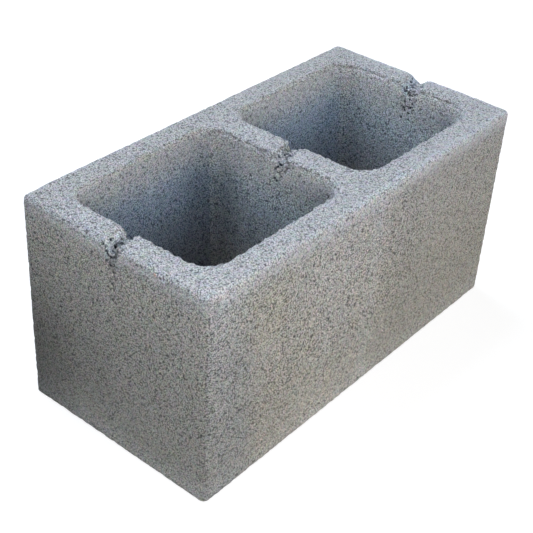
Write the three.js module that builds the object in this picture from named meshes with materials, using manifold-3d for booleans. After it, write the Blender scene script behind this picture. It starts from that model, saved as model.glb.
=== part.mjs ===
// A hollow concrete block with two cells, made in one pressing.
// Millimetres. X runs along the block, Y across it and Z up. The origin is the middle of the bed.
// It stands as it left the mould, with the wide ends of its tapered cells and the notches of
// the core bar at the top.
import * as THREE from 'three';
import { mergeVertices } from 'three/addons/utils/BufferGeometryUtils.js';
import Module from 'manifold-3d';

const wasm = await Module();
wasm.setup();

// The outside of the block: a 400 x 200 x 200 module less its 10 mm mortar joint.
const blockLength = 390;
const blockWidth = 190;
const blockHeight = 190;

// The walls, measured at the top face, where the cores were widest and the walls are thinnest.
const faceShell = 25;
const endWeb = 25;
const centreWeb = 28;

// The cells. The cores taper so that the fresh block can be pushed down off them.
const coreTaper = 1.5; // degrees from upright, on every side of a core
const cellCornerRadius = 20; // the upright corners of a cell
const cellRimRadius = 3; // the worn rim of a cell at the top face

// The outer edges.
const uprightCornerRadius = 5;
const topEdgeRadius = 3;
const bedEdgeRadius = 1.5;

// The notch that the core bar leaves across the top of each web: a V with soft shoulders.
const notchWidth = 23; // from shoulder to shoulder, where the top face begins to fall
const notchDepth = 8;
const notchShoulderRadius = 8;
const notchRootRadius = 2;

// How finely the round parts are drawn.
const uprightCornerSteps = 3;
const cellCornerSteps = 5;
const edgeSteps = 4;
const notchSteps = 5;

const cutPast = 2; // how far a cutter runs past the face that it opens

// A rectangle with round corners, centred on (middleX, 0), as a ring of points going left.
function roundedRectangle(length, width, cornerRadius, steps, middleX = 0) {
  const right = length / 2 - cornerRadius;
  const back = width / 2 - cornerRadius;
  const outline = new THREE.Path();
  outline.absarc(middleX + right, back, cornerRadius, 0, Math.PI / 2);
  outline.absarc(middleX - right, back, cornerRadius, Math.PI / 2, Math.PI);
  outline.absarc(middleX - right, -back, cornerRadius, Math.PI, 1.5 * Math.PI);
  outline.absarc(middleX + right, -back, cornerRadius, 1.5 * Math.PI, 2 * Math.PI);
  outline.closePath();
  return outline.getPoints(steps).slice(0, -1);
}

// A closed solid through a pile of rings, each { z, points }, from the lowest to the highest.
function loft(rings) {
  const count = rings[0].points.length;
  const positions = rings.flatMap(({ z, points }) => points.flatMap(({ x, y }) => [x, y, z]));
  const triangles = [];
  for (let level = 0; level < rings.length - 1; level++) {
    for (let i = 0; i < count; i++) {
      const next = (i + 1) % count;
      const low = level * count;
      const high = low + count;
      triangles.push(low + i, low + next, high + next);
      triangles.push(low + i, high + next, high + i);
    }
  }
  const top = (rings.length - 1) * count;
  for (const [a, b, c] of THREE.ShapeUtils.triangulateShape(rings[0].points, [])) {
    triangles.push(a, c, b);
  }
  for (const [a, b, c] of THREE.ShapeUtils.triangulateShape(rings.at(-1).points, [])) {
    triangles.push(top + a, top + b, top + c);
  }
  const geometry = new THREE.BufferGeometry();
  geometry.setAttribute('position', new THREE.Float32BufferAttribute(positions, 3));
  geometry.setIndex(triangles);
  return geometry;
}

// The angles that step a quarter circle.
function quarterTurn(steps) {
  return Array.from({ length: steps + 1 }, (_, i) => (i / steps) * (Math.PI / 2));
}

// The outside of the block, with its edges rounded above and eased where it stood on the pallet.
function blockBlank() {
  const ring = (z, inset) => {
    const cornerRadius = Math.max(uprightCornerRadius - inset, 0.5);
    const length = blockLength - 2 * inset;
    const width = blockWidth - 2 * inset;
    return { z, points: roundedRectangle(length, width, cornerRadius, uprightCornerSteps) };
  };
  const bedEdge = quarterTurn(edgeSteps).map((turn) =>
    ring(bedEdgeRadius * (1 - Math.cos(turn)), bedEdgeRadius * (1 - Math.sin(turn))),
  );
  const topEdge = quarterTurn(edgeSteps).map((turn) =>
    ring(blockHeight - topEdgeRadius * (1 - Math.sin(turn)), topEdgeRadius * (1 - Math.cos(turn))),
  );
  return loft([...bedEdge, ...topEdge]);
}

// One core: it narrows towards the bed and flares at the top to leave the cell its round rim.
const cellLength = (blockLength - 2 * endWeb - centreWeb) / 2;
const cellWidth = blockWidth - 2 * faceShell;
const cellMiddle = (centreWeb + cellLength) / 2;

function cellCore(middleX) {
  const draft = Math.tan(THREE.MathUtils.degToRad(coreTaper));
  const ring = (z, flare) => {
    const grow = flare - draft * (blockHeight - z);
    const length = cellLength + 2 * grow;
    const width = cellWidth + 2 * grow;
    const cornerRadius = cellCornerRadius + flare;
    const points = roundedRectangle(length, width, cornerRadius, cellCornerSteps, middleX);
    return { z, points };
  };
  const rim = quarterTurn(edgeSteps).map((turn) =>
    ring(blockHeight - cellRimRadius * (1 - Math.sin(turn)), cellRimRadius * (1 - Math.cos(turn))),
  );
  return loft([ring(-cutPast, 0), ...rim, ring(blockHeight + cutPast, cellRimRadius)]);
}

// The core bar runs the whole length of the block, so one cutter notches all three webs.
// Each flank is the line that touches both the shoulder's circle and the root's.
function coreBarNotch() {
  const shoulder = { y: notchWidth / 2, z: -notchShoulderRadius };
  const root = { y: 0, z: notchRootRadius - notchDepth };
  const across = shoulder.y - root.y;
  const up = shoulder.z - root.z;
  const between = Math.hypot(across, up);
  const slope = Math.atan2(up, across) + Math.asin((notchShoulderRadius + notchRootRadius) / between);

  // The shape lies in the Y-Z plane: its x is the block's Y and its y is the height from the top.
  const profile = new THREE.Shape();
  profile.moveTo(-shoulder.y, cutPast);
  profile.absarc(-shoulder.y, shoulder.z, notchShoulderRadius, Math.PI / 2, Math.PI / 2 - slope, true);
  profile.absarc(root.y, root.z, notchRootRadius, 1.5 * Math.PI - slope, 1.5 * Math.PI + slope);
  profile.absarc(shoulder.y, shoulder.z, notchShoulderRadius, Math.PI / 2 + slope, Math.PI / 2, true);
  profile.lineTo(shoulder.y, cutPast);

  const cutter = new THREE.ExtrudeGeometry(profile, {
    depth: blockLength + 2 * cutPast,
    bevelEnabled: false,
    curveSegments: notchSteps,
  });
  // Turned so that the profile stands across the block and the extrusion runs along it.
  const alongBlock = new THREE.Matrix4().makeBasis(
    new THREE.Vector3(0, 1, 0),
    new THREE.Vector3(0, 0, 1),
    new THREE.Vector3(1, 0, 0),
  );
  cutter.applyMatrix4(alongBlock);
  cutter.translate(-blockLength / 2 - cutPast, 0, blockHeight);
  return cutter;
}

// Between a three.js geometry and a solid that can be cut.
function toSolid(geometry) {
  const bare = geometry.clone();
  bare.deleteAttribute('normal');
  bare.deleteAttribute('uv');
  const closed = mergeVertices(bare, 1e-4);
  const vertProperties = new Float32Array(closed.attributes.position.array);
  const triVerts = new Uint32Array(closed.index.array);
  return new wasm.Manifold(new wasm.Mesh({ numProp: 3, vertProperties, triVerts }));
}

function toGeometry(solid) {
  const { vertProperties, triVerts } = solid.getMesh();
  const geometry = new THREE.BufferGeometry();
  geometry.setAttribute('position', new THREE.BufferAttribute(vertProperties, 3));
  geometry.setIndex(new THREE.BufferAttribute(triVerts, 1));
  geometry.computeVertexNormals();
  return geometry;
}

const concreteGrey = new THREE.MeshStandardMaterial({
  color: 0xa3a29e,
  roughness: 0.96,
  metalness: 0,
});

const cells = [-cellMiddle, cellMiddle].map((middleX) => toSolid(cellCore(middleX)));
const hollowBlock = cells.reduce((block, cell) => block.subtract(cell), toSolid(blockBlank()));
const notchedBlock = hollowBlock.subtract(toSolid(coreBarNotch()));

const concreteBlock = new THREE.Mesh(toGeometry(notchedBlock), concreteGrey);
concreteBlock.name = 'concrete_block';

const group = new THREE.Group();
group.add(concreteBlock);

export default group;
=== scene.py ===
# %% [markdown]
# # A hollow concrete block
# The real block is one piece. A block machine packs a stiff, almost dry mix round two tapered
# cores and pushes the block out at once, so its skin is grain against grain: small pits, proud
# grains of sand, crumbling rims and a torn notch over each web where the bar that held the
# cores ran. The solid model already has the size, the cells, the edges and the notches. This
# script gives it that skin.

# %% Load the solid model
from math import radians, sin, tan

import bmesh
import bpy
from mathutils import Matrix, Vector


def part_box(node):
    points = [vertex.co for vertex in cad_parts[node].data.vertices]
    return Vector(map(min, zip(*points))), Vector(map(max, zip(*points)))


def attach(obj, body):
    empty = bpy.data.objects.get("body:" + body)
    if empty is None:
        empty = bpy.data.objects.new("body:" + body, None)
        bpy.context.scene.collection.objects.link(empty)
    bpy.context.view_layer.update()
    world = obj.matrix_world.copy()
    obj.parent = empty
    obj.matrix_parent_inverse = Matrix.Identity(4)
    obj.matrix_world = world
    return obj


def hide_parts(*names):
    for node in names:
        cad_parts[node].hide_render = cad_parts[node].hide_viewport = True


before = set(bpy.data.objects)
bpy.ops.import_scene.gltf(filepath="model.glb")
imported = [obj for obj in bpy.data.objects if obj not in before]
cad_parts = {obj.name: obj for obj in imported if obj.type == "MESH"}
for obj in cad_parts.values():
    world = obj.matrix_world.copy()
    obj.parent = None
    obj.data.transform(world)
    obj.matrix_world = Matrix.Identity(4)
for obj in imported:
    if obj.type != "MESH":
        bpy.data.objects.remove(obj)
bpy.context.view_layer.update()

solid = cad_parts["concrete_block"]
print("loaded", solid.name, "with", len(solid.data.polygons), "faces")

# %% [markdown]
# ## Sizes
# What is placed on the block is worked out from the solid's own box and from the walls and the
# notch that the solid was made with. The scene works in metres, as the frame does, but the grain
# of concrete is easier to think of in millimetres, so the patterns use those.

# %% Read the block's size from the frame
MM = 0.001
half_length, half_width, height = (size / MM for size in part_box("concrete_block")[1])
face_shell = 25.0
end_web = 25.0
centre_web = 28.0
cell_half_width = half_width - face_shell
notch_width = 23.0
notch_depth = 8.0
shoulder_radius = 8.0
root_radius = 2.0
root_half_width = 1.6  # where the notch's round bottom meets its straight flanks
flank = radians(49.1)  # how steep those flanks are
rim_radius = 3.0
print("block", 2 * half_length, "x", 2 * half_width, "x", height, "mm")

# %% [markdown]
# ## Writing nodes as sums
# The pattern of the concrete is used twice: geometry nodes push the surface in with it, and the
# material darkens the same places. Laying out two node trees by hand would be slow to read, so
# one small class wraps a socket and lets Python's arithmetic add the Math nodes. `1 - mask` then
# works as it does on paper, in either kind of tree. Any other node comes from `node`.

# %% One class for both kinds of node tree
class Wire:
    """An output in a node tree. Arithmetic on it adds Math nodes. With no socket it is the bare tree."""

    def __init__(self, tree, socket=None):
        self.tree = tree
        self.socket = socket

    def node(self, kind, settings=None, inputs=None, output=0):
        """Adds a node: its settings first, then the values or wires of its inputs. Gives one output."""
        made = self.tree.nodes.new(kind)
        for name, value in (settings or {}).items():
            if name == "stops":
                set_stops(made.color_ramp, value)
            else:
                setattr(made, name, value)
        for name, value in (inputs or {}).items():
            if isinstance(value, Wire):
                self.tree.links.new(value.socket, made.inputs[name])
            else:
                made.inputs[name].default_value = value
        return Wire(self.tree, made.outputs[output] if len(made.outputs) else None)

    def twin(self, output):
        """Another output of the node that this one comes from."""
        return Wire(self.tree, self.socket.node.outputs[output])

    def sum(self, operation, *terms):
        """A Math node on these terms, which are wires or numbers."""
        return self.node("ShaderNodeMath", {"operation": operation}, dict(enumerate(terms)))

    def __add__(self, other):
        return self.sum("ADD", self, other)

    def __sub__(self, other):
        return self.sum("SUBTRACT", self, other)

    def __rsub__(self, other):
        return self.sum("SUBTRACT", other, self)

    def __mul__(self, other):
        return self.sum("MULTIPLY", self, other)

    def __truediv__(self, other):
        return self.sum("DIVIDE", self, other)

    def __pow__(self, other):
        return self.sum("POWER", self, other)

    def __abs__(self):
        return self.sum("ABSOLUTE", self)

    __radd__ = __add__
    __rmul__ = __mul__

    def least(self, other):
        return self.sum("MINIMUM", self, other)

    def most(self, other):
        return self.sum("MAXIMUM", self, other)

    def over(self, start, end, first=0.0, last=1.0, curve="SMOOTHSTEP"):
        """first up to start and last from end on, with a climb between. start may be the larger."""
        return self.node(
            "ShaderNodeMapRange",
            {"interpolation_type": curve},
            {"Value": self, "From Min": start, "From Max": end, "To Min": first, "To Max": last},
        )

    def within(self, start, full, fading, end):
        """0 outside start and end and 1 from full to fading, with a climb on both sides."""
        return self.over(start, full) * self.over(end, fading)

    def vector(self, operation, *terms, output=0):
        """A Vector Math node on these terms."""
        return self.node("ShaderNodeVectorMath", {"operation": operation}, dict(enumerate(terms)), output)

    def scaled(self, factor):
        return self.node("ShaderNodeVectorMath", {"operation": "SCALE"}, {0: self, "Scale": factor})

    def parts(self):
        """The x, y and z of a vector."""
        split = self.node("ShaderNodeSeparateXYZ", inputs={0: self})
        return split, split.twin(1), split.twin(2)

    def blend(self, first, second):
        """The colour first where this mask is 0 and second where it is 1."""
        return self.node(
            "ShaderNodeMix", {"data_type": "RGBA"}, {0: self, 6: first, 7: second}, output=2
        )


def set_stops(ramp, stops):
    """Gives a colour ramp these (position, colour) stops."""
    while len(ramp.elements) < len(stops):
        ramp.elements.new(1.0)
    for element, (position, colour) in zip(ramp.elements, stops):
        element.position = position
        element.color = colour


print("wires are ready")

# %% [markdown]
# ## The pattern of the mix
# A close look at the face of a block shows three things: packed grains of sand, each with a
# colour of its own, small voids where no paste reached between the grains, and here and there a
# bigger hole where a grain was dragged out. Noise gives the slow changes. Voronoi cells give the
# grains, because each cell is the space round one point and has its own random colour. The same
# cells, made larger, give the voids and holes: a dot round the point, in some of the cells only.

# %% Noise, grains, dots and holes
def noise(place, size, detail=2.0, roughness=0.5, seed=0.0, output=0):
    """Soft noise from 0 to 1 with lumps about size millimetres apart."""
    moved = place.vector("ADD", place, (seed, 3 * seed, 7 * seed))
    return place.node(
        "ShaderNodeTexNoise",
        {"noise_dimensions": "3D"},
        {"Vector": moved, "Scale": 1 / size, "Detail": detail, "Roughness": roughness},
        output,
    )


def grains(place, size, seed=0.0):
    """Packed grains: how far each place is from its grain's middle, with the grain's colour as twin."""
    moved = place.vector("ADD", place, (seed, 5 * seed, 11 * seed))
    return place.node("ShaderNodeTexVoronoi", {"feature": "F1"}, {"Vector": moved, "Scale": 1 / size})


FIRST_DRAW = (17.0, 31.0, 53.0)
SECOND_DRAW = (29.0, 47.0, 11.0)
THIRD_DRAW = (41.0, 13.0, 37.0)


def chance(cells, draw):
    """A random number from 0 to 1 for each cell, and a new one for each draw. A cell's colour alone
    won't do, because its red, green and blue are also how far along the cell its point lies, so a
    flat face picks them out."""
    red, green, blue = cells.twin("Color").parts()
    across, along, up = draw
    mixed = red * across + green * along + blue * up
    return mixed.sum("FRACT", mixed)


def dots(place, spacing, radius, share, seed=0.0):
    """1 in soft dots of about that radius, in that share of the cells that lie spacing apart."""
    cells = grains(place, spacing, seed)
    present = chance(cells, FIRST_DRAW).over(share + 0.02, share - 0.02)
    reach = radius / spacing * (0.6 + 0.8 * chance(cells, SECOND_DRAW))
    return present * (cells / reach).over(1.15, 0.45)


def warped(place, size, by):
    """The place pushed about by noise, so that what is round becomes ragged."""
    centred = place.vector("SUBTRACT", noise(place, size, detail=1.0, output=1), (0.5, 0.5, 0.5))
    return place.vector("ADD", place, centred.scaled(2 * by))


def holes(place):
    """The bigger voids, which are deep enough to be in the mesh."""
    return dots(warped(place, 3.0, 0.9), spacing=9.0, radius=1.3, share=0.35, seed=2.0)


print("patterns are ready")

# %% [markdown]
# ## The torn notches
# The core bar is wiped out of the top of the block sideways as the block drops, so no web's notch
# is clean. It is steep on one side and slumps on the other, it wanders as it crosses the web, and
# the mix below it is loose, which leaves a crumbly seam down both faces of the web. The notch
# could be modelled by hand on each web, but a few sizes say it all: where its bottom is, how far
# its steep and its slack side reach, how deep it is, how wide the loose mix is and how far down the
# seam goes. Each has two values, for the web's left face and for its right face.

# %% Where each web's notch lies
webs = [
    {
        "middle": -half_length + end_web / 2,
        "half": end_web / 2,
        "bottom": (0.9, 5.2),
        "steep": (7.5, 4.6),
        "slack": (7.5, 12.0),
        "deep": (10.0, 6.5),
        "loose": (3.0, 3.0),
        "seam": (40.0, 25.0),
    },
    {
        "middle": 0.0,
        "half": centre_web / 2,
        "bottom": (-5.0, 5.0),
        "steep": (7.0, 2.8),
        "slack": (7.0, 17.0),
        "deep": (5.0, 5.6),
        "loose": (3.0, 3.0),
        "seam": (34.0, 25.0),
    },
    {
        "middle": half_length - end_web / 2,
        "half": end_web / 2,
        "bottom": (-4.0, -2.5),
        "steep": (13.0, 15.0),
        "slack": (8.5, 8.5),
        "deep": (5.5, 5.8),
        "loose": (7.0, 3.0),
        "seam": (32.0, 25.0),
    },
]


def on_web(x, web):
    """1 on that web and 0 away from it."""
    return abs(x - web["middle"]).over(web["half"] + 9.0, web["half"] + 4.0)


def along_webs(x, size):
    """One of the notches' sizes, which changes evenly from one face of each web to the other."""
    total = 0.0
    for web in webs:
        first, last = web[size]
        start = web["middle"] - web["half"]
        end = web["middle"] + web["half"]
        total = on_web(x, web) * x.over(start, end, first, last, "LINEAR") + total
    return total


print("notches on", len(webs), "webs")

# %% [markdown]
# The torn notch is as deep as the lower of its two sides, and its bottom wanders. The loose mix
# lies round the bottom and down the seam, and falls apart into crumbs with dark gaps between
# them. The gaps are what is far from every crumb's middle, so the same cells that make grains
# make them too.

# %% The torn notch and its loose mix
def torn_notch(x, y):
    """How deep the torn notch is below the top face."""
    floor_plan = x.node("ShaderNodeCombineXYZ", inputs={0: x, 1: y})
    wandering = (noise(floor_plan, 6.0, seed=31.0) - 0.5) * 4
    aside = y - along_webs(x, "bottom") + wandering
    steep = aside.over(along_webs(x, "steep").most(1.0), 0.0)
    slack = (0 - aside).over(along_webs(x, "slack").most(1.0), 0.0)
    return steep.least(slack) * along_webs(x, "deep")


def crumbly(place):
    """1 where the mix is loose: at the bottom of the torn notches and along the seams below them."""
    x, y, z = place.parts()
    leaning = z.over(height - 18, height - 8, 1.0, 3.5)
    wandering = (noise(place, 12.0, seed=5.0) - 0.5) * 6
    aside = abs(y - along_webs(x, "bottom") + leaning + wandering)
    half = along_webs(x, "loose") + z.over(height - 16, height - 6, 0.0, 3.0)
    fading = ((height - z) / along_webs(x, "seam").most(1.0)).over(1.0, 0.5)
    return (aside - half).over(1.5, -1.5) * fading


def gaps(place):
    """1 in the dark gaps between the crumbs of loose mix."""
    crumbs = grains(warped(place, 2.5, 0.7), 2.8, seed=14.0)
    broken = noise(place, 5.0, detail=1.0, seed=16.0).over(0.36, 0.56)
    return crumbs.over(0.46, 0.64) * broken * crumbly(place)


print("torn notches are ready")

# %% [markdown]
# A few voids are big enough to be known one by one. They opened where the bar pulled grains out with it, and
# the eye finds them first, so they are listed and not left to chance.

# %% The voids that the bar left
VOIDS = [  # x, y, z and radius
    # the left end's notch
    (-195, 4.4, 181.5, 1.7),
    (-195, 3.3, 179.3, 1.8),
    (-195, 5.5, 184.6, 1.3),
    (-195, 7.7, 186.5, 1.2),
    (-184.5, 3.4, 182.6, 1.6),
    (-186.6, 6.6, 186.8, 1.6),
    (-193.9, 5.0, 185.4, 1.4),
    # the seam down its outer face
    (-195, 1.0, 178.0, 1.4),
    (-195, -2.5, 172.7, 1.4),
    (-195, 1.6, 170.8, 1.5),
    (-195, -2.1, 165.6, 1.5),
    (-195, -3.0, 162.6, 1.3),
    (-195, -0.7, 155.3, 1.5),
    (-195, -2.1, 151.6, 1.3),
    (-195, -0.8, 142.1, 1.3),
    # the centre web's notch
    (1.5, 2.6, 187.6, 1.3),
    (7.0, 3.0, 186.0, 1.1),
    (-6.0, -0.2, 186.3, 1.4),
    (0.5, -0.2, 185.0, 1.5),
    # the seam down its left face
    (-14, -0.4, 186.2, 1.5),
    (-13.2, -5.0, 186.2, 1.5),
    (-14.0, -7.0, 184.9, 1.5),
    (-14.0, -4.2, 181.1, 1.5),
    (-14.2, -2.6, 179.0, 1.2),
    (-14.4, -1.0, 176.7, 1.4),
    (-14.4, -3.2, 174.2, 1.1),
    (-14.5, -1.0, 168.3, 1.4),
    (-14.6, -2.8, 166.3, 1.4),
    (-14.9, -0.5, 150.5, 1.1),
    (-14.9, -4.7, 151.3, 1.1),
    # the right end's notch
    (195, -1.6, 183.5, 1.4),
    (193.5, 4.1, 187.2, 1.4),
    (190, 4.5, 187.6, 1.2),
    (186, 2.6, 186.5, 1.4),
    (182.6, 0.8, 185.2, 1.6),
    (176, 0.0, 185.2, 1.5),
    # the seam down its inner face
    (170.0, -1.6, 183.5, 1.5),
    (170.0, -4.1, 183.6, 1.2),
    (170.0, -7.9, 184.6, 1.3),
    (170.0, -4.7, 179.3, 1.3),
    (170.0, -7.9, 179.8, 1.1),
    (170.0, -6.6, 176.3, 1.3),
    (169.9, -1.4, 172.4, 1.3),
    (169.7, -1.2, 166.2, 1.5),
    (169.6, -2.6, 164.4, 1.5),
    (169.7, -7.9, 168.1, 1.5),
    (169.7, -10.3, 169.6, 1.2),
    (169.6, -7.6, 162.5, 1.3),
    (169.4, -0.4, 156.5, 1.4),
    (169.4, -8.2, 156.6, 1.2),
]


def pulled_out(place):
    """1 in those voids, which are ragged and soft at the rim."""
    uneven = warped(place, 2.5, 0.5)
    total = 0.0
    for x, y, z, radius in VOIDS:
        apart = uneven.vector("DISTANCE", uneven, (x, y, z), output=1)
        total = apart.over(1.15 * radius, 0.5 * radius).most(total)
    return total


print("voids", len(VOIDS))

# %% [markdown]
# The solid already has a clean notch and round rims. To move its surface to the torn notch, the
# script has to know how deep it is now, so the solid's own profile is written out here.

# %% The notch that the solid has
def clean_notch(y):
    """How deep the solid's own notch is: a round shoulder, a straight flank and a round bottom."""
    inside = (notch_width / 2 - abs(y)).most(0.0)
    bend = inside.least(shoulder_radius * sin(flank))
    fallen = shoulder_radius - (shoulder_radius**2 - bend**2) ** 0.5 + (inside - bend) * tan(flank)
    bottom = notch_depth - abs(y).least(root_half_width) ** 2 / (2 * root_radius)
    return fallen.least(bottom)


def web_rim(x):
    """How much lower than its top the rounded rim of a web is, which the solid's notch cuts away."""
    total = 0.0
    for web in webs:
        inside = (web["half"] - abs(x - web["middle"])).most(0.0).least(rim_radius)
        fallen = rim_radius - (rim_radius**2 - (rim_radius - inside) ** 2) ** 0.5
        total = fallen * on_web(x, web) + total
    return total


print("the solid's notch is", notch_width, "x", notch_depth, "mm")

# %% [markdown]
# ## A mesh fine enough for the skin
# The solid has large flat faces, which can't be pushed in here and there. Subdividing them would
# give long thin faces round the cells, so the solid is remeshed in voxels of about a millimetre,
# which gives even little squares everywhere. It follows the solid closely, because the solid is
# closed. Its corners are welded first, so that the remesh sees it closed too.

# %% Copy the solid and remesh it
VOXEL = 1.1
WELD = 0.001


def applied(piece):
    """Replaces the piece's mesh by what its modifiers make of it."""
    graph = bpy.context.evaluated_depsgraph_get()
    mesh = bpy.data.meshes.new_from_object(
        piece.evaluated_get(graph), preserve_all_data_layers=True, depsgraph=graph
    )
    piece.modifiers.clear()
    piece.data = mesh
    return mesh


skin = bpy.data.objects.new("block_skin", solid.data.copy())
bpy.context.scene.collection.objects.link(skin)
welder = bmesh.new()
welder.from_mesh(skin.data)
bmesh.ops.remove_doubles(welder, verts=welder.verts, dist=WELD * MM)
welder.to_mesh(skin.data)
welder.free()
skin.data.materials.clear()
grid = skin.modifiers.new("grid", "REMESH")
grid.mode = "VOXEL"
grid.voxel_size = VOXEL * MM
print("remeshed to", len(applied(skin).polygons), "faces")

# %% [markdown]
# ## Press the skin into it
# Geometry nodes move every point of the mesh by a sum of pushes. All but the notch's go inwards,
# along the normal, so the block never grows past its mould.

# %% Start the tree and name what each point knows
tree = bpy.data.node_groups.new("rough_skin", "GeometryNodeTree")
tree.interface.new_socket("Geometry", in_out="INPUT", socket_type="NodeSocketGeometry")
tree.interface.new_socket("Geometry", in_out="OUTPUT", socket_type="NodeSocketGeometry")
bare = Wire(tree)
smooth_mesh = bare.node("NodeGroupInput")
place = bare.node("GeometryNodeInputPosition").scaled(1 / MM)
normal = bare.node("GeometryNodeInputNormal")
x, y, z = place.parts()
normal_x, normal_y, normal_z = normal.parts()
print("tree", tree.name)

# %% [markdown]
# The flat faces are not quite flat: they undulate by a few tenths, the sand shows through, and
# there are holes. The front face came off a smoother liner, so there the sand hardly stands out.
# The edges have lost grains, so they are pushed in where a coarser noise says so, and the rims of
# the cells are a row of knobs, each as big as a grain of the coarse stone. An edge is found by
# its normal, which leans there, and is then spread a little by a blur.

# %% Faces and edges
UNDULATION = 0.30
SAND_RELIEF = 0.28
HOLE_DEPTH = 1.1
EDGE_LOSS = 0.5
RIM_LOSS = 0.4
KNOBS = 1.4
lean = abs(normal_z)
level_edge = (lean * (1 - lean) * 4).over(0.15, 0.9)
upright_edge = (abs(normal_x) * abs(normal_y) * 2).over(0.2, 0.9)
upright_edge = upright_edge * abs(y).over(half_width - 6, half_width - 4)
edge = level_edge.most(upright_edge)
worn = bare.node("GeometryNodeBlurAttribute", inputs={0: edge, "Iterations": 6}).over(0.0, 0.35)
ragged = noise(place, 5.5, detail=2.0, roughness=0.6, seed=4.0).over(0.38, 0.72)
in_core = abs(y).over(half_width - 8, half_width - 12) * abs(x).over(half_length - 8, half_length - 12)
depth = noise(place, 34.0, seed=1.0) * UNDULATION
lumps = 1 - 0.95 * y.over(12 - half_width, 4 - half_width)
depth = depth + noise(place, 3.4, detail=2.5, roughness=0.6, seed=3.0) * SAND_RELIEF * lumps
depth = depth + holes(place) * HOLE_DEPTH * lumps
between_knobs = grains(warped(place, 3.0, 0.8), 5.5, seed=8.0).over(0.2, 0.75)
depth = depth + worn * ((EDGE_LOSS + RIM_LOSS * in_core) * ragged + KNOBS * in_core * between_knobs)
print("faces and edges")

# %% [markdown]
# Handling has rubbed the outer edges rounder than they left the mould, most of all round the near
# left corner. A point of an edge is moved on to a bigger arc: `beyond` is the way from the arc's
# middle to the point, and what it has more than the arc's radius is taken off.

# %% Rubbed outer edges
EDGE_RADIUS = 3.5
NEAR_TOP_MORE = 1.5
NEAR_UPRIGHT_MORE = 2.5
near_end = x.over(30 - half_length, 12 - half_length)
near_face = y.over(30 - half_width, 12 - half_width)
near_top = z.over(height - 30, height - 12)
more = (near_end * near_top * NEAR_TOP_MORE).most(near_face * near_top * NEAR_TOP_MORE)
radius = more.most(near_end * near_face * NEAR_UPRIGHT_MORE) + EDGE_RADIUS
from_end = (radius - half_length + abs(x)).most(0.0) * x.sum("SIGN", x)
from_face = (radius - half_width + abs(y)).most(0.0) * y.sum("SIGN", y)
from_top = (radius - height + z).most(0.0)
beyond = bare.node("ShaderNodeCombineXYZ", inputs={0: from_end, 1: from_face, 2: from_top})
excess = (beyond.vector("LENGTH", beyond, output=1) - radius).most(0.0)
rounding = beyond.vector("NORMALIZE", beyond).scaled(0 - excess)
print("rubbed edges")

# %% [markdown]
# The notch is moved from where the solid has it to where it was torn. Only its depth changes, so
# every point near the top of a web goes straight up or down by the difference. What is below it
# follows less and less. Round the bottom of the notch the mix is crumbly, and so is the seam
# below it.

# %% Notches and seams
SKIN_LEFT = 0.05  # how far below the top face a lifted point stays
CRUMBLE_DEPTH = 0.8
GAP_DEPTH = 0.9
VOID_DEPTH = 2.2
rim = web_rim(x)
drop = clean_notch(y).most(rim) - torn_notch(x, y) - rim
drop = drop * z.over(height - 34, height - 9) * abs(y).over(30.0, 20.0)
drop = drop.least(height - SKIN_LEFT - z)
loose = noise(place, 4.5, detail=1.0, seed=6.0).over(0.35, 0.65)
depth = depth + crumbly(place) * loose * CRUMBLE_DEPTH
depth = depth + gaps(place) * GAP_DEPTH
depth = depth + pulled_out(place) * VOID_DEPTH
print("notches and seams")

# %% [markdown]
# The material has to darken the same gaps and holes that the mesh has. It can't work them out
# from where a point is now, because the push has moved it, so each point keeps a note of where it
# was laid before the skin was pressed in.

# %% Move the points
upwards = bare.node("ShaderNodeCombineXYZ", inputs={2: drop}).scaled(MM)
offset = bare.vector("ADD", upwards, rounding.scaled(MM))
torn_mesh = bare.node("GeometryNodeSetPosition", inputs={0: smooth_mesh, "Offset": offset})
noted_mesh = bare.node(
    "GeometryNodeStoreNamedAttribute",
    {"data_type": "FLOAT_VECTOR", "domain": "POINT"},
    {"Geometry": torn_mesh, "Name": "laid", "Value": place},
)
inwards = normal.scaled(depth * -MM)
rough_mesh = bare.node("GeometryNodeSetPosition", inputs={0: noted_mesh, "Offset": inwards})
bare.node("NodeGroupOutput", inputs={0: rough_mesh})
rough = skin.modifiers.new("rough_skin", "NODES")
rough.node_group = tree
applied(skin)
print("pressed the skin in, with", [layer.name for layer in skin.data.attributes])

# %% [markdown]
# ## Keep faces where the shape needs them
# Most of those little squares lie on nearly flat concrete. Decimate takes them out there first
# and leaves the rims, the notches and the holes their faces.

# %% Thin out the mesh
MOST_TRIANGLES = 198_000
triangles = sum(len(face.vertices) - 2 for face in skin.data.polygons)
if triangles > MOST_TRIANGLES:
    thin = skin.modifiers.new("thin", "DECIMATE")
    thin.ratio = MOST_TRIANGLES / triangles
    applied(skin)
for face in skin.data.polygons:
    face.use_smooth = True
print("thinned to", sum(len(face.vertices) - 2 for face in skin.data.polygons), "triangles")

# %% [markdown]
# ## Concrete
# Concrete is grey only from far away. Close up it is sand, and each grain is pale, dark, yellowish
# or reddish, with cement between them. The material starts from a plain colour for each part of
# the block, and then multiplies it by the grain. A part is known by where it lies on the block,
# so no image and no unwrapping is needed. `spot` is where a point is now and `laid` is where it
# was before the skin was pressed in.

# %% Where the material is
concrete = bpy.data.materials.new("concrete")
concrete.use_nodes = True
concrete.node_tree.nodes.clear()
shade = Wire(concrete.node_tree)
spot = shade.node("ShaderNodeTexCoord", output="Object").scaled(1 / MM)
px, py, pz = spot.parts()
laid = shade.node("ShaderNodeAttribute", {"attribute_name": "laid"}, output="Vector")
lx, ly = laid.parts()[:2]
blot = noise(spot, 11.0, detail=3.0, roughness=0.6, seed=21.0) - 0.5


def tinted(colour, mask, tint):
    """The colour, with this tint where the mask is 1."""
    return mask.blend(colour, shade.vector("MULTIPLY", colour, tint))


print("material", concrete.name)

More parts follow.
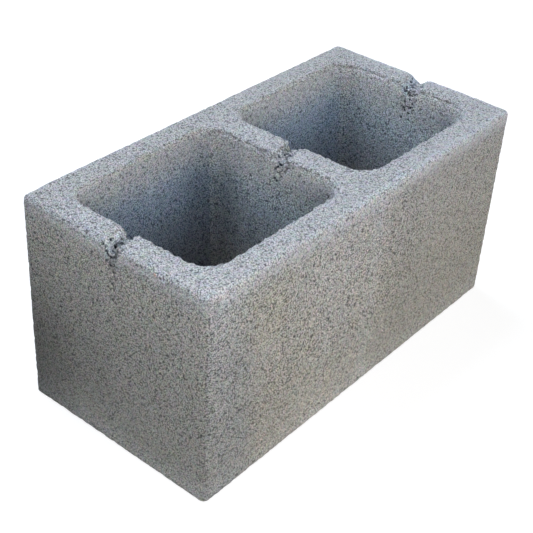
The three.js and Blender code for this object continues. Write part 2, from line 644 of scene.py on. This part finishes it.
# %% [markdown]
# First the block is split into its outer faces, its cells and its top. `blot` is a slow noise
# that makes each border wander, because a straight one would look printed.

# %% The parts of the block
torn = torn_notch(lx, ly)
outside = abs(py).over(cell_half_width + 8, cell_half_width + 16)
outside = outside.most(abs(px).over(half_length - end_web + 8, half_length - end_web + 16))
at_end = abs(lx).over(half_length - 1.3, half_length - 0.3)
along_face = 1 - at_end
by_web = abs(along_webs(px, "deep")).over(0.5, 3.0)
level = pz + torn + torn.over(0.5, 2.0) * 2 + outside * 2.5
top = (level + blot * (5 + 3 * outside)).over(height - 6.5, height - 2.5)
wander = blot * 14
print("the cells are", 2 * cell_half_width, "mm wide inside")

# %% [markdown]
# The faces that slid down the mould are a warm grey. The long face is a little paler in its middle part,
# with a greyer band in front of the centre web and a darker one at the near corner, which is lighter towards
# the top. Over the near upright edge that darker band is partly painted shade. Dust makes it warmer towards
# the foot, but less so at that corner and in a patch left of the middle. Every outer face is paler and bluer
# at the very foot.

# %% The long face
FACE = (0.452, 0.440, 0.418, 1)
PALE_FACE = (0.518, 0.504, 0.482, 1)
CORNER = (0.374, 0.377, 0.372, 1)
MIDDLE = (0.523, 0.520, 0.511, 1)
DUST = (1.023, 1.00, 0.934)
WARM_TINT = (1.015, 1.00, 0.94)
FOOT_TINT = (1.13, 1.15, 1.19)
face_colour = abs(px + 32 + wander * 3).over(82.0, 22.0).blend(FACE, PALE_FACE)
face_colour = abs(px + wander).over(centre_web / 2, 4.0).blend(face_colour, MIDDLE)
# A darker band at the near corner. Over the near upright edge it is partly painted shade.
corner = (wander * 0.6 - px).over(half_length - 69, half_length - 29) * along_face
face_colour = corner.blend(face_colour, CORNER)
greyer = abs(px + 45).over(34.0, 14.0) * pz.within(40.0, 75.0, 135.0, 165.0)
dusty = pz.over(height - 10, 60.0) * along_face * (1 - 0.7 * corner) * (1 - 0.6 * greyer)
face_colour = tinted(face_colour, dusty, DUST)
upper_corner = corner * pz.over(height - 70, height - 10)
face_colour = face_colour.scaled(1 - 0.05 * corner + 0.12 * upper_corner)
left_part = abs(px + 135 + wander).over(45.0, 10.0) * along_face
face_colour = face_colour.scaled(1 - 0.03 * left_part)
face_colour = tinted(face_colour, left_part * pz.over(105.0, 140.0), WARM_TINT)
foot = pz.over(60.0, 10.0)
face_colour = face_colour.scaled(1 + 0.09 * foot)
bed = pz.over(24.0, 5.0)
face_colour = tinted(face_colour, 0.9 * bed, FOOT_TINT)
print("long face")

# %% [markdown]
# The left end is painted lighter towards the top, as painted light from above, and painted shade makes it
# darkest low down at the back. It has a chalky patch near the top and a faint stain lower down. The strip
# below every top edge is painted bluer, as painted light from above.

# %% The left end, and the painted light below the top
END_TINT = (0.985, 1.00, 0.975)
TOP_STRIP_LIGHT = (0.470, 0.500, 0.570)
face_colour = tinted(face_colour, at_end, END_TINT)
# Lighter towards the top of the left end: painted light from above.
painted_end_light = at_end * (pz + blot * 30).over(height - 100, height - 5) * py.over(-half_width, 20.0, 0.45, 1.2)
# Darkest low down at the back of the left end: painted shade.
painted_end_shade = (py + blot * 40).over(15.0, half_width) * (pz + blot * 40).over(150.0, 55.0)
painted_end_shade = painted_end_shade * px.over(-120.0, -half_length)
chalky = at_end * py.over(0.0, 40.0) * pz.over(155.0, 175.0)
stained = at_end * py.within(-12.0, 14.0, 50.0, 80.0) * pz.within(20.0, 42.0, 80.0, 105.0)
face_colour = face_colour.scaled((1 + 0.23 * painted_end_light) * (1 - 0.52 * painted_end_shade))
face_colour = face_colour.scaled(1 + 0.10 * chalky - 0.10 * stained)
face_colour = face_colour.scaled(1 + 0.11 * bed * at_end)
# The bluer strip below every top edge, paler on the left end: painted light from above.
top_strip_light = outside * (pz + blot * 10).over(height - 24, height - 3) * 0.5
end_top_strip_light = at_end * (pz + blot * 4).over(height - 14, height - 6)
top_strip_light_colour = {0: TOP_STRIP_LIGHT, "Scale": 1 + 0.3 * end_top_strip_light}
top_strip_light_colour = shade.node("ShaderNodeVectorMath", {"operation": "SCALE"}, top_strip_light_colour)
face_colour = top_strip_light.blend(face_colour, top_strip_light_colour)
print("left end")

# %% [markdown]
# In the cells the concrete is painted cooler and darker below the rim, as painted shade in the cool light
# from above. The webs' walls are painted paler than the shells', as painted light. The left cell is painted
# darker, most of all in its corner behind the centre web's notch, as painted shade, and the tint of the
# light changes with the depth, so a ramp on the height sets it.

# %% Inside the cells
CELL_RIM = (0.505, 0.518, 0.535, 1)
CELL_DEEP_SHADE = (0.380, 0.445, 0.515, 1)
LIT_WEB_RIM = (0.545, 0.548, 0.550, 1)
WEB_DEEP_SHADE = (0.440, 0.484, 0.505, 1)
NEAR_LIGHT_TINT = (1.38, 1.30, 1.20)
WEB_LIGHT_TINT = (1.15, 1.12, 1.09)
DEPTH_LIGHT_TINTS = [  # the height in the cell, from 0 at the bottom to 1 at the top, and the tint there
    (0.37, (1.12, 0.98, 0.885, 1)),
    (0.45, (1.08, 0.975, 0.935, 1)),
    (0.53, (1.00, 0.975, 1.00, 1)),
    (0.61, (0.965, 0.98, 1.005, 1)),
    (0.68, (0.94, 0.99, 1.06, 1)),
    (0.76, (0.94, 1.00, 1.065, 1)),
    (0.84, (1.04, 1.05, 1.06, 1)),
    (0.92, (1.00, 1.00, 1.00, 1)),
]
near_rim = (pz + blot * 16).over(height - 40, height - 8)
# Cooler and darker below the rim: painted shade. The webs are paler: painted light.
shell_colour = near_rim.blend(CELL_DEEP_SHADE, CELL_RIM)
web_colour = near_rim.blend(WEB_DEEP_SHADE, LIT_WEB_RIM)
# The left cell is darker, most of all in the corner behind the centre web: painted shade.
left_cell_shade = px.over(0.0, -20.0) * pz.over(height, 70.0, 0.15, 0.25)
cell_colour = by_web.blend(shell_colour.scaled(1 - left_cell_shade), web_colour)
corner_shade = px.within(-55.0, -14.0, -10.0, 0.0) * py.over(20.0, 54.0)
corner_shade = corner_shade * pz.over(height - 8, height - 58) * pz.over(60.0, 115.0, 0.4, 1.0)
lit_rim = px.over(100.0, 160.0) * by_web * pz.over(height - 25, height - 4) * py.over(-30.0, 60.0, 0.12, 0.3)
cell_colour = cell_colour.scaled((1 - 0.34 * corner_shade) * (1 + lit_rim))
# The tint of the light at each depth of the cell: painted light and shade.
light_by_depth = shade.node("ShaderNodeValToRGB", {"stops": DEPTH_LIGHT_TINTS}, {0: (pz + blot * 12) / height})
cell_colour = shade.vector("MULTIPLY", cell_colour, light_by_depth)
# The lower front part of the webs' walls is lighter: painted light.
lit_lower_web = by_web * py.over(52.0, 26.0) * pz.over(168.0, 148.0)
cell_colour = tinted(cell_colour, lit_lower_web, WEB_LIGHT_TINT)
# The near half of the webs' walls is lighter and warmer: painted light from the front.
lit_near_half = by_web * py.over(20.0, -45.0) * pz.over(height - 15, height - 50)
cell_colour = tinted(cell_colour, lit_near_half, NEAR_LIGHT_TINT)
below_top = height - pz - torn + blot
# A band just below the webs' rims is darker: painted shade.
cell_colour = cell_colour.scaled(1 - 0.12 * by_web * below_top.within(3.5, 5.0, 6.0, 7.5))
print("cells")

# %% [markdown]
# The top, which was struck off, is pale, and a little duller at the back. Inside each torn notch the back
# flank is painted bluer, as painted shade, and on the left and centre webs paler too, as painted light. A
# thin pale line follows the rim of each cell on its shell walls.

# %% The top and the notches
TOP = (0.437, 0.440, 0.443, 1)
TOP_BACK = (0.406, 0.404, 0.395, 1)
NOTCH_SHADE = (0.43, 0.48, 0.53, 1)
LIT_FLANK = (0.575, 0.615, 0.655, 1)
from_bottom = ly - along_webs(lx, "bottom")
# The back flank of each notch is bluer: painted shade. It is paler on the left and centre webs: painted
# light.
shaded_notch = torn.over(0.5, 3.0) * from_bottom.over(0.0, 2.5)
lit_flank = px.over(100.0, 20.0) * from_bottom.over(0.5, 3.5)
top_colour = py.over(30.0, 85.0).blend(TOP, TOP_BACK)
top_colour = shaded_notch.blend(top_colour, lit_flank.blend(NOTCH_SHADE, LIT_FLANK))
colour = outside.blend(cell_colour, face_colour)
colour = top.blend(colour, top_colour)
under_rim = (1 - outside) * (1 - by_web) * below_top.within(1.0, 2.6, 3.4, 5.0)
colour = colour.scaled(1 + 0.20 * under_rim)
print("top and notches")

# %% [markdown]
# The outer top edges are painted pale and bluish, as a painted highlight of the light from above on their
# rounded shoulders. A ramp gives the tint across an edge, from the top down on to the face, and `amount`
# says how much of it shows: on the long face more to the right, on the left end more to the back, and less
# and less along the back edge. The near upright edge is painted a little darker than the faces beside it, as
# painted shade.

# %% The painted highlight and shade on the edges
EDGE_ABOVE = 6.0  # where the ramp starts on the top, in millimetres from the edge
EDGE_SPAN = 20.0  # and how far it goes on, down the face
EDGE_HIGHLIGHTS = [
    (0.00, (1.00, 1.00, 1.00, 1)),
    (0.20, (1.17, 1.22, 1.275, 1)),
    (0.30, (1.30, 1.365, 1.43, 1)),
    (0.40, (1.375, 1.425, 1.47, 1)),
    (0.50, (1.34, 1.37, 1.39, 1)),
    (0.60, (1.26, 1.26, 1.26, 1)),
    (0.70, (1.205, 1.19, 1.175, 1)),
    (0.85, (1.08, 1.07, 1.06, 1)),
    (1.00, (1.00, 1.00, 1.00, 1)),
]
# The near upright edge is darker: painted shade against the corner lamp's light.
end_side = py.over(-88.5, -91.0) * lx.over(-half_length + 2.5, -half_length + 1.0)
face_side = px.over(-half_length + 12, -half_length + 6) * py.over(-half_width + 1.5, -half_width + 0.5)
painted_arris_shade = end_side * (0.10 + 0.05 * pz.over(60.0, 100.0)) + face_side * (0.06 + 0.08 * pz.over(150.0, 165.0))
colour = colour.scaled(1 - painted_arris_shade)
from_side = (half_width - abs(py)).least(half_length - abs(px))
below_edge = (height - pz - torn) - from_side + blot * 2
across_edge = (below_edge + EDGE_ABOVE) / EDGE_SPAN
# The tint across a top edge: a painted highlight of the light from above.
edge_highlight = shade.node("ShaderNodeValToRGB", {"stops": EDGE_HIGHLIGHTS}, {0: across_edge})
at_back = py.over(60.0, 80.0) * abs(px).over(half_length - 12, half_length - 20)
on_face = at_back * px.over(-150.0, 60.0, 0.6, 0.0) + (1 - at_back) * px.over(-140.0, 20.0, 0.3, 1.0)
on_end = 0.5 + 0.5 * py.over(-75.0, -45.0) + 0.3 * py.over(-10.0, 40.0)
on_end = on_end * (1 - px.over(0.0, 20.0) * py.over(-20.0, 40.0, 0.3, 0.8))
near_corner = px.over(-160.0, -180.0) * py.over(-60.0, -80.0)
amount = outside * (1 - torn.over(0.5, 3.0)) * (on_face * along_face + on_end * at_end)
amount = amount * (1 - 0.25 * near_corner)
extra = shade.vector("SUBTRACT", edge_highlight, (1, 1, 1)).scaled(amount)
colour = shade.vector("MULTIPLY", colour, shade.vector("ADD", extra, (1, 1, 1)))
print("rubbed edges")

# %% [markdown]
# The grain is a factor that is 1 on the whole. Each grain is pale in its middle and dark at the
# gap to the next one, with a brightness and a tint of its own, and a fine noise breaks it up. Where
# the face was pressed or smeared smooth, the paste covers the grains and their contrast is lower.

# %% Grain
MIDDLE_TONE = 0.52
GRAIN_SIZE = 1.12
FINE_SIZE = 0.8
OPEN_GRAIN = 1.20  # the contrast where nothing calms it
GRAIN_TONES = [  # where the tone stands, and what it makes of the colour
    (0.26, (0.26, 0.26, 0.26, 1)),
    (0.42, (0.69, 0.69, 0.69, 1)),
    (0.52, (1.09, 1.09, 1.09, 1)),
    (0.64, (1.42, 1.42, 1.42, 1)),
    (0.78, (1.79, 1.79, 1.79, 1)),
]
sand = grains(warped(spot, 1.0, 0.15), GRAIN_SIZE, seed=8.0)
own_tone = chance(sand, FIRST_DRAW)
fine = noise(spot, FINE_SIZE, detail=1.5, roughness=0.6, seed=9.0)
tone = fine.over(0.2, 0.8, curve="LINEAR") * 0.35 + (1 - sand) * 0.55 + own_tone * 0.10
right_part = px.over(35.0, 85.0) * outside
inside_rim = (1 - outside) * near_rim * (1 - top)
strip = outside * pz.over(height - 16, height - 11) * (1 - top)
smeared = outside * pz.over(75.0, 20.0) * (1 - 0.6 * right_part)
coarse = abs(px + 30).over(110.0, 65.0) * pz.within(55.0, 80.0, 130.0, 165.0) * outside
calmed = ((right_part, 0.26), (inside_rim, 0.38), (smeared, 0.28), (strip, 0.40), (top, 0.20))
contrast = OPEN_GRAIN + 0.14 * coarse
for part, loss in calmed:
    contrast = contrast - loss * part
tone = MIDDLE_TONE + (tone - MIDDLE_TONE) * contrast
light = shade.node("ShaderNodeValToRGB", {"stops": GRAIN_TONES}, {0: tone}).parts()[0]
print("grain of", GRAIN_SIZE, "mm")

# %% [markdown]
# The light of a grain works on the grey of the colour in full and on its hue by half, or the dark
# gaps would turn brown. Then come the tints: one of its own for each grain, and two soft noises,
# because sand comes in batches. One grain of rusty stone lies near the left end's top edge, as
# stray grains do.

# %% Tints of the grains
HUE_SHARE = 0.55
OWN_TINT = 0.12
SOFT_TINTS = ((4.5, 41.0, 0.27), (10.0, 43.0, 0.12))  # size, seed and strength
RUSTY_GRAIN = (-half_length, -43.5, 185.0)
RUST = (1.07, 0.81, 0.71)
grey = shade.node("ShaderNodeRGBToBW", inputs={0: colour})
grey = shade.node("ShaderNodeCombineXYZ", inputs={0: grey, 1: grey, 2: grey})
hue = shade.vector("SUBTRACT", colour, grey)
grained = shade.vector("ADD", grey.scaled(light), hue.scaled(light**HUE_SHARE))
own_colour = {0: own_tone, 1: chance(sand, SECOND_DRAW), 2: chance(sand, THIRD_DRAW)}
own_colour = shade.node("ShaderNodeCombineXYZ", inputs=own_colour)
tint = shade.vector("SUBTRACT", own_colour, (0.5, 0.5, 0.5)).scaled(OWN_TINT)
for size, seed, strength in SOFT_TINTS:
    batch = shade.vector("SUBTRACT", noise(spot, size, seed=seed, output=1), (0.5, 0.5, 0.5))
    tint = shade.vector("ADD", tint, batch.scaled(strength))
paint = shade.vector("MULTIPLY", grained, shade.vector("ADD", tint, (1.0, 1.0, 1.0)))
rusty = laid.vector("DISTANCE", laid, RUSTY_GRAIN, output=1).over(1.7, 0.9)
paint = tinted(paint, rusty, RUST)
print("tints")

# %% [markdown]
# Pits are where no paste reached. The small ones are only painted, because a mesh can't hold
# them. The bigger holes, the gaps and the voids are in the mesh as well, and the paint darkens
# them because light that gets in hardly gets out again.

# %% Pits, and the shade inside them
PIT = (0.07, 0.075, 0.085, 1)
HOLE = (0.08, 0.08, 0.09, 1)
VOID = (0.03, 0.04, 0.055, 1)
pits = dots(warped(spot, 1.2, 0.3), spacing=3.2, radius=1.0, share=0.30, seed=15.0)
paint = (pits * contrast * 0.75).blend(paint, PIT)
paint = (holes(laid) * 0.7).blend(paint, HOLE)
paint = pulled_out(laid).most(gaps(laid) * 0.7).blend(paint, VOID)
print("pits")

# %% [markdown]
# What is finer than the mesh is left to bump: the grains stand proud and the small pits are
# sunk. Dry concrete has no gloss, so it is rough and reflects little.

# %% Bump and surface
BUMP_DEPTH = 0.6
relief = tone * 0.7 - pits * 0.8 - sand.over(0.3, 0.8) * 0.3
bump = {"Height": relief, "Strength": 0.8, "Distance": BUMP_DEPTH * MM}
bump = shade.node("ShaderNodeBump", inputs=bump)
surface = shade.node(
    "ShaderNodeBsdfPrincipled",
    inputs={"Base Color": paint, "Roughness": 0.95, "Specular IOR Level": 0.25, "Normal": bump},
)
shade.node("ShaderNodeOutputMaterial", inputs={"Surface": surface})
skin.data.materials.append(concrete)

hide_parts("concrete_block")
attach(skin, "root")
print("concrete is on")

# %% [markdown]
# ## Floor, light and camera
# The block stands on a plain floor that looks white to the camera, with the block's shadow on it.
# Light that bounces meets a mid grey floor instead, so that the floor doesn't flood the block
# from below. Part of the floor's white is its own glow, which no shadow darkens, so the shadow
# stays soft.

# %% The floor and the sky
def seen(wire):
    """1 for what the camera sees, straight or in a reflection or through glass."""
    path = wire.node("ShaderNodeLightPath", output="Is Camera Ray")
    return path.most(path.twin("Is Glossy Ray")).most(path.twin("Is Transmission Ray"))


FLOOR_REACH = 6.0
FLOOR_GREY = (0.35, 0.35, 0.35, 1)  # what catches the light and the shadow
FLOOR_GLOW = 0.8
BOUNCE_GREY = (0.3, 0.3, 0.3, 1)
DOME_LIGHT = 0.12
WHITE = (1, 1, 1, 1)
floor_mesh = bpy.data.meshes.new("floor")
corner_signs = ((-1, -1), (1, -1), (1, 1), (-1, 1))
floor_corners = [(a * FLOOR_REACH, b * FLOOR_REACH, 0) for a, b in corner_signs]
floor_mesh.from_pydata(floor_corners, [], [(0, 1, 2, 3)])
floor = bpy.data.objects.new("floor", floor_mesh)
bpy.context.scene.collection.objects.link(floor)
floor_paint = bpy.data.materials.new("floor_paint")
floor_paint.use_nodes = True
floor_paint.node_tree.nodes.clear()
ground = Wire(floor_paint.node_tree)
catching = ground.node("ShaderNodeBsdfDiffuse", inputs={"Color": FLOOR_GREY})
glowing = ground.node("ShaderNodeEmission", inputs={"Color": WHITE, "Strength": FLOOR_GLOW})
shown = ground.node("ShaderNodeAddShader", inputs={0: catching, 1: glowing})
bouncing = ground.node("ShaderNodeBsdfDiffuse", inputs={"Color": BOUNCE_GREY})
either = ground.node("ShaderNodeMixShader", inputs={0: seen(ground), 1: bouncing, 2: shown})
ground.node("ShaderNodeOutputMaterial", inputs={"Surface": either})
floor_mesh.materials.append(floor_paint)

world = bpy.data.worlds.new("sky")
bpy.context.scene.world = world
world.use_nodes = True
world.node_tree.nodes.clear()
sky = Wire(world.node_tree)
dome = sky.node("ShaderNodeBackground", inputs={"Color": WHITE, "Strength": DOME_LIGHT})
white = sky.node("ShaderNodeBackground", inputs={"Color": WHITE, "Strength": 1.0})
either = sky.node("ShaderNodeMixShader", inputs={0: seen(sky), 1: dome, 2: white})
sky.node("ShaderNodeOutputWorld", inputs={"Surface": either})
print("floor and sky")

# %% [markdown]
# Three softboxes light it. The key is high and behind, so the top is the lightest face and the
# near walls of the cells fall into shade. One in front lights the long face, and a small one near
# the corner lifts both faces there.

# %% The lamps
LAMP_AIM = Vector((0, 0, 0.1))
LAMPS = {
    "key": {"at": (0, 0.7, 1.2), "size": 1.0, "watts": 16.7, "colour": (0.89, 1.0, 1.17)},
    "front": {"at": (0.45, -1.0, 0.6), "size": 0.7, "watts": 5.3, "colour": (1.0, 1.0, 1.0)},
    "corner": {"at": (-0.4, -0.4, 0.35), "size": 0.2, "watts": 1.27, "colour": (1.0, 1.0, 1.0)},
}
for name, sizes in LAMPS.items():
    softbox = bpy.data.lights.new(name, "AREA")
    softbox.shape = "SQUARE"
    softbox.size = sizes["size"]
    softbox.energy = sizes["watts"]
    softbox.color = sizes["colour"]
    lamp = bpy.data.objects.new(name, softbox)
    bpy.context.scene.collection.objects.link(lamp)
    lamp.location = sizes["at"]
    lamp.rotation_euler = (LAMP_AIM - lamp.location).to_track_quat("-Z", "Y").to_euler()
    lamp.visible_camera = False
    print("lamp", name, sizes["watts"], "W")

# %% [markdown]
# The camera looks down at the corner between the left end and the long face. It stands close, so
# the block gets clearly smaller towards the back, and it is turned a little about its own axis.

# %% The camera
LENS = 77.4
EYE = Vector((-0.6486, -0.4899, 0.6369))
AIM = Vector((-0.0141, 0.0013, 0.0801))
ROLL = 3.81
camera_data = bpy.data.cameras.new("camera")
camera_data.sensor_width = 36.0
camera_data.lens = LENS
camera_data.clip_start = 0.01
camera_data.clip_end = 50.0
camera = bpy.data.objects.new("camera", camera_data)
bpy.context.scene.collection.objects.link(camera)
turn = (AIM - EYE).to_track_quat("-Z", "Y").to_matrix() @ Matrix.Rotation(radians(ROLL), 3, "Z")
camera.matrix_world = Matrix.LocRotScale(EYE, turn, None)
bpy.context.scene.camera = camera
bpy.context.scene.view_settings.view_transform = "Standard"
print("camera", round((AIM - EYE).length, 3), "m from what it looks at")
